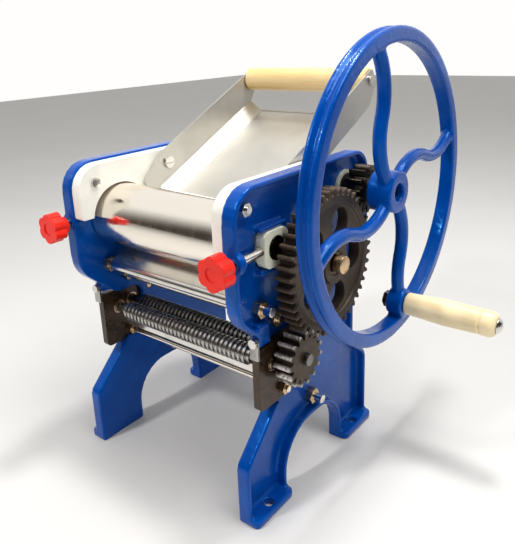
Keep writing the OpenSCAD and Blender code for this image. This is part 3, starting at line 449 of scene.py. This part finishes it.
def zinc_plate(tone):
    """Yellow zinc plating with faint rainbow clouds."""
    made = Finish("yellow_zinc_plate", Metallic=1.0)
    rose = (tone[0] * 1.05, tone[1] * 0.82, tone[2] * 0.72)
    cloud = made.span(made.noise(160.0, 3.0), 0.35, 0.65)
    made.bump((made.noise(900.0, 3.0), 0.00002))
    return made.paint(Base_Color=made.blend(cloud, rose, tone),
                      Roughness=made.span(cloud, 0.0, 1.0, 0.24, 0.38))


def tray_sheet(tone, angle):
    """Rolled sheet with fine lines along the slope."""
    made = Finish("rolled_sheet", Metallic=0.7)
    lines = made.noise(1.0, 3.0, 0.6, stretch=(900.0, 7.0, 60.0), turn=(-angle, 0.0, 0.0))
    cloud = made.span(made.noise(16.0, 4.0), 0.3, 0.7)
    shade = scaled(tone, 0.84)
    made.bump((made.noise(30.0, 2.0), 0.00012), (lines, 0.000001))
    return made.paint(Base_Color=made.blend(cloud, shade, tone),
                      Roughness=made.span(lines, 0.25, 0.75, 0.28, 0.40))


def beech(name, pale, deep):
    """Turned pale wood with grain along X, growth bands and short dark flecks."""
    made = Finish(name, Coat_Weight=0.18, Coat_Roughness=0.3)
    bands = made.noise(1.0, 5.0, 0.62, stretch=(9.0, 170.0, 130.0))
    fibre = made.noise(1.0, 3.0, 0.6, stretch=(40.0, 1400.0, 1400.0))
    fleck = made.span(made.noise(1.0, 2.0, 0.5, stretch=(150.0, 1100.0, 1100.0)), 0.66, 0.78, 0.0, 0.35)
    tone = made.blend(made.span(bands, 0.32, 0.68), deep, pale)
    tone = made.blend(made.span(fibre, 0.35, 0.75, 0.0, 0.3), tone, deep)
    made.bump((fibre, 0.00005), (bands, 0.00006))
    return made.paint(Base_Color=made.blend(fleck, tone, scaled(deep, 0.45)),
                      Roughness=made.span(fibre, 0.3, 0.7, 0.38, 0.52))


# Operators, one for each group of pieces


class NOODLE_OT_castings(Operator):
    """Model the painted side frames and the hand wheel"""

    bl_idname = "noodle.castings"
    bl_label = "Painted Castings"

    def execute(self, context):
        settings = context.scene.noodle_castings
        enamel = cobalt_enamel(settings)
        for node in ("left_frame", "right_frame", "hand_wheel"):
            settle(cast(node, node + "_casting", settings.grain, settings.soften), node, enamel)
        return {"FINISHED"}


class NOODLE_OT_plastics(Operator):
    """Model the guards, bearing blocks, bushes and gap knobs"""

    bl_idname = "noodle.plastics"
    bl_label = "Moulded Pieces"

    def execute(self, context):
        settings = context.scene.noodle_plastics
        ivory = moulded("ivory_guard", tuple(settings.ivory), 0.34, 0.00006, Coat_Weight=0.1)
        nylon = moulded("milky_nylon", tuple(settings.nylon), 0.36, 0.00010, Subsurface_Weight=0.12,
                        Subsurface_Scale=0.004)
        red = moulded("red_gloss", tuple(settings.red), 0.22, 0.00010, Coat_Weight=0.15, Coat_Roughness=0.08,
                      Specular_IOR_Level=0.2)
        for side in ("left", "right"):
            settle(machined(side + "_guard", side + "_guard_shell", settings.edge, 3), side + "_guard", ivory)
            settle(machined(side + "_bearing_block", side + "_block_shell", settings.edge, 3),
                   side + "_bearing_block", nylon)
            settle(machined(side + "_knob", side + "_knob_shell", settings.knob_edge, 4), side + "_knob", red)
        for node in ("roller_bushes", "shaft_bushes"):
            settle(machined(node, node + "_shell", settings.edge / 3), node, nylon)
        return {"FINISHED"}


class NOODLE_OT_rollers(Operator):
    """Model the plated dough rollers, rods and gap screws"""

    bl_idname = "noodle.rollers"
    bl_label = "Rollers and Rods"

    def execute(self, context):
        settings = context.scene.noodle_metals
        chrome, soot = tuple(settings.chrome), tuple(settings.soot)
        journal = scaled(settings.steel, 0.5)
        rod = plated("drawn_rod", chrome, 0.2, tarnish=tuple(settings.tarnish))
        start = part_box("right_bearing_block")[0].x
        settle(machined("rear_roller", "rear_roller_drum", settings.edge), "rear_roller",
               roller_skin("rear_roller_plate", chrome, journal, soot, start))
        drum = machined("front_roller", "front_roller_drum", settings.edge)
        choose(drum, lambda point: point.x > start)
        bpy.ops.transform.translate(value=(settings.end_reach, 0.0, 0.0))
        bpy.ops.object.mode_set(mode="OBJECT")
        settle(drum, "front_roller", roller_skin("front_roller_plate", chrome, journal, soot, start))
        for node in ("front_tie_rod", "base_tie_rod", "rear_tie_rod", "scraper_rod", "cutter_tie_rod",
                     "left_screw", "right_screw"):
            settle(machined(node, node + "_turned", settings.nut_edge), node, rod)
        return {"FINISHED"}


class NOODLE_OT_gears(Operator):
    """Model the gears, shaft, keys and collar"""

    bl_idname = "noodle.gears"
    bl_label = "Gears and Shafts"

    def execute(self, context):
        settings = context.scene.noodle_metals
        iron, dark, steel = tuple(settings.iron), tuple(settings.dark), tuple(settings.steel)
        worn = tuple(0.5 * (first + second) for first, second in zip(iron, steel))
        for node, metal, bright in (("drive_gear", 0.35, scaled(iron, 1.5)),
                                    ("rear_roller_gear", 0.5, worn), ("front_roller_gear", 0.5, worn),
                                    ("cutter_gear", 0.6, tuple(settings.rubbed))):
            low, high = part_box(node)
            middle = (low + high) / 2
            tip = (high.y - low.y) / 2
            finish = cast_gear(node + "_iron", iron, bright, (middle.y, middle.z), tip, metal)
            if node == "drive_gear":
                piece = cast(node, node + "_teeth", settings.gear_grain, settings.gear_soften)
            else:
                piece = machined(node, node + "_teeth", settings.edge)
            settle(piece, node, finish)
        black = oiled("oiled_black", dark)
        for node in ("drive_pinion", "wheel_shaft", "shaft_collar", "rear_link_gear", "front_link_gear",
                     "handle_nut"):
            settle(machined(node, node + "_oiled", settings.edge), node, black)
        ground = plated("ground_key", steel, 0.3)
        for node in ("drive_key", "pinion_key", "wheel_key"):
            frame["nodes"][node].data.materials.clear()
            frame["nodes"][node].data.materials.append(ground)
        return {"FINISHED"}


class NOODLE_OT_cutting_head(Operator):
    """Model the cutter plates, ringed rollers, comb, scrapers and turn clips"""

    bl_idname = "noodle.cutting_head"
    bl_label = "Cutting Head"

    def execute(self, context):
        settings = context.scene.noodle_metals
        steel = tuple(settings.steel)
        plate = oiled("cutter_plate_steel", tuple(settings.plate), 0.36, 0.4)
        for side in ("left", "right"):
            settle(machined(side + "_cutter_plate", side + "_cutter_slab", settings.nut_edge),
                   side + "_cutter_plate", plate)
        bright = plated("bright_rings", scaled(steel, 0.75), 0.3, tarnish=scaled(steel, 0.4))
        # Painted shade: the rear cutter's rings are the front cutter's steel, darkened to under half its
        # brightness.
        dull = plated("shaded_rings", scaled(steel, 0.32), 0.36, tarnish=scaled(steel, 0.16))
        settle(machined("front_cutter", "front_cutter_rings", settings.edge / 2, 1), "front_cutter", bright)
        settle(machined("rear_cutter", "rear_cutter_rings", settings.edge / 2, 1), "rear_cutter", dull)
        sheet = plated("bright_sheet", scaled(steel, 1.15), 0.24, ring=ROLLING_LINES)
        clip = plated("grey_clip", scaled(steel, 0.7), 0.4)
        for node in ("noodle_comb", "front_scraper", "rear_scraper"):
            settle(machined(node, node + "_sheet", settings.edge / 2), node, sheet)
        for node in ("left_latch", "right_latch"):
            settle(machined(node, node + "_sheet", settings.edge / 2), node, clip)
        return {"FINISHED"}


class NOODLE_OT_fasteners(Operator):
    """Model the nuts, screws and bolts"""

    bl_idname = "noodle.fasteners"
    bl_label = "Fasteners"

    def execute(self, context):
        settings = context.scene.noodle_metals
        zinc = zinc_plate(tuple(settings.zinc))
        for node in ("tie_rod_nuts", "cutter_bolts", "cutter_bushes", "cutter_tie_nuts"):
            settle(machined(node, node + "_plated", settings.nut_edge), node, zinc)
        low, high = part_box("gear_nut")
        high.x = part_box("rear_roller")[1].x + settings.cap_rise
        cap = turned_cap("gear_nut_cap", low, high, settings.cap_width, settings.cap_rise)
        settle(cap, "gear_nut", zinc)
        nickel = plated("nickel_screw", scaled(settings.steel, 1.1), 0.22)
        for node in ("guard_screws", "guard_nuts", "tray_screws", "bar_screws", "latch_screws",
                     "handle_bolt"):
            piece = machined(node, node + "_plated", settings.nut_edge / 2)
            if node == "guard_screws":
                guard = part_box("right_guard")[0].x
                low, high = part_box(node)
                choose(piece, lambda point: abs(point.x) < guard + WELD)
                bpy.ops.transform.resize(value=(1.0, settings.head_share, settings.head_share),
                                         center_override=(low + high) / 2)
                bpy.ops.object.mode_set(mode="OBJECT")
            settle(piece, node, nickel)
        return {"FINISHED"}


class NOODLE_OT_tray(Operator):
    """Model the sloped feed tray"""

    bl_idname = "noodle.tray"
    bl_label = "Feed Tray"

    def execute(self, context):
        settings = context.scene.noodle_metals
        sheet = tray_sheet(tuple(settings.sheet), TRAY_SLOPE)
        settle(machined("dough_tray", "dough_tray_sheet", settings.edge), "dough_tray", sheet)
        return {"FINISHED"}


class NOODLE_OT_wood(Operator):
    """Model the wooden bar and the crank grip"""

    bl_idname = "noodle.wood"
    bl_label = "Wooden Pieces"

    def execute(self, context):
        settings = context.scene.noodle_woods
        edge = context.scene.noodle_metals.edge
        # The grip's tones are the bar's wood made paler: a painted highlight.
        for node, pale, deep in (("dough_bar", settings.pale, settings.deep),
                                 ("handle_grip", settings.grip_lit_pale, settings.grip_lit_deep)):
            wood = beech(node + "_beech", tuple(pale), tuple(deep))
            settle(machined(node, node + "_turned", edge), node, wood)
        return {"FINISHED"}


class NOODLE_OT_stage(Operator):
    """Set the floor, the light and the camera"""

    bl_idname = "noodle.stage"
    bl_label = "Stage"

    def execute(self, context):
        settings = context.scene.noodle_stage
        scene = context.scene
        scene.view_settings.view_transform = "Standard"
        pick()
        bpy.ops.mesh.primitive_plane_add(size=FLOOR_SIZE, location=FLOOR_PLACE)
        floor = context.object
        floor.name = "floor"
        bpy.ops.object.mode_set(mode="EDIT")
        bpy.ops.mesh.select_all(action="SELECT")
        bpy.ops.mesh.subdivide(number_cuts=3)
        bpy.ops.object.mode_set(mode="OBJECT")
        matt = Finish("pale_floor")
        pale = tuple(settings.floor)
        cloud = matt.span(matt.noise(3.0, 3.0), 0.3, 0.7)
        floor.data.materials.append(matt.paint(
            Base_Color=matt.blend(cloud, scaled(pale, 0.97), pale), Roughness=0.6))

        world = bpy.data.worlds.new("daylight")
        scene.world = world
        world.use_nodes = True
        tree = world.node_tree
        sky = tree.nodes["Background"]
        rays = add_node(tree, "LightPath").outputs
        glossy = rays["Is Glossy Ray"]
        either = add_node(tree, "Math", {0: rays["Is Camera Ray"], 1: glossy}, operation="MAXIMUM")
        seen = add_node(tree, "Math", {0: either.outputs[0], 1: rays["Is Transmission Ray"]},
                        operation="MAXIMUM")
        level = add_node(tree, "MapRange", {"Value": seen.outputs[0], "To Min": settings.daylight,
                                            "To Max": 1.0})
        where = add_node(tree, "TexCoord").outputs["Generated"]
        back = add_node(tree, "VectorMath", {0: where, 1: BRIGHT_SIDE}, operation="DOT_PRODUCT")
        wall = add_node(tree, "MapRange", {"Value": back.outputs["Value"], "From Min": SHADE_ENDS[0],
                                           "From Max": SHADE_ENDS[1]}, interpolation_type="SMOOTHSTEP")
        mirrored = add_node(tree, "Math", {0: glossy, 1: wall.outputs[0]}, operation="SUBTRACT",
                            use_clamp=True)
        room = add_node(tree, "Mix", {0: mirrored.outputs[0], 6: WHITE_WALL, 7: tuple(settings.shade)},
                        data_type="RGBA")
        fill(tree, sky, {"Strength": level.outputs[0], "Color": room.outputs[2]})

        for name, watts, size, place in (("key_lamp", settings.key, 0.7, (0.62, 0.10, 1.38)),
                                         ("glint_lamp", settings.glint, 0.15, (-0.35, -1.0, 1.25)),
                                         ("ceiling_lamp", settings.ceiling, 0.18, (0.12, 0.22, 1.40))):
            bpy.ops.object.light_add(type="AREA", location=place)
            lamp = context.object
            lamp.name = name
            lamp.data.energy = watts
            lamp.data.size = size
            aim = LAMP_AIM - Vector(place)
            lamp.rotation_euler = aim.to_track_quat("-Z", "Y").to_euler()

        level_reach = math.cos(settings.pitch)
        forward = Vector((-math.sin(settings.yaw) * level_reach, math.cos(settings.yaw) * level_reach,
                          -math.sin(settings.pitch)))
        level_right = Vector((math.cos(settings.yaw), math.sin(settings.yaw), 0.0))
        level_up = level_right.cross(forward)
        right = level_right * math.cos(settings.roll) + level_up * math.sin(settings.roll)
        up = right.cross(forward)
        bpy.ops.object.camera_add(location=settings.stand)
        camera = context.object
        turn = Matrix((right, up, -forward)).transposed()
        camera.matrix_world = Matrix.Translation(settings.stand) @ turn.to_4x4()
        camera.data.lens = settings.lens
        camera.data.shift_x, camera.data.shift_y = settings.shift
        scene.camera = camera
        return {"FINISHED"}


STEPS = (NOODLE_OT_castings, NOODLE_OT_plastics, NOODLE_OT_rollers, NOODLE_OT_gears,
         NOODLE_OT_cutting_head, NOODLE_OT_fasteners, NOODLE_OT_tray, NOODLE_OT_wood, NOODLE_OT_stage)
GROUPS = {"noodle_castings": CastingSettings, "noodle_plastics": PlasticSettings,
          "noodle_metals": MetalSettings, "noodle_woods": WoodSettings, "noodle_stage": StageSettings}


class NOODLE_PT_sidebar(Panel):
    """Lists the sizes, colours and steps of the noodle cutter"""

    bl_idname = "NOODLE_PT_sidebar"
    bl_label = "Noodle Cutter"
    bl_space_type = "VIEW_3D"
    bl_region_type = "UI"
    bl_category = "Noodle Cutter"

    def draw(self, context):
        for name, group in GROUPS.items():
            box = self.layout.box()
            for field in group.__annotations__:
                box.prop(getattr(context.scene, name), field)
        for step in STEPS:
            self.layout.operator(step.bl_idname)


CLASSES = (*GROUPS.values(), *STEPS, NOODLE_PT_sidebar)


def register():
    for item in CLASSES:
        bpy.utils.register_class(item)
    for name, group in GROUPS.items():
        setattr(bpy.types.Scene, name, PointerProperty(type=group))


def unregister():
    for name in GROUPS:
        delattr(bpy.types.Scene, name)
    for item in reversed(CLASSES):
        bpy.utils.unregister_class(item)


def main():
    register()
    for step in STEPS:
        getattr(bpy.ops.noodle, step.bl_idname.split(".")[1])()


if __name__ == "__main__":
    main()
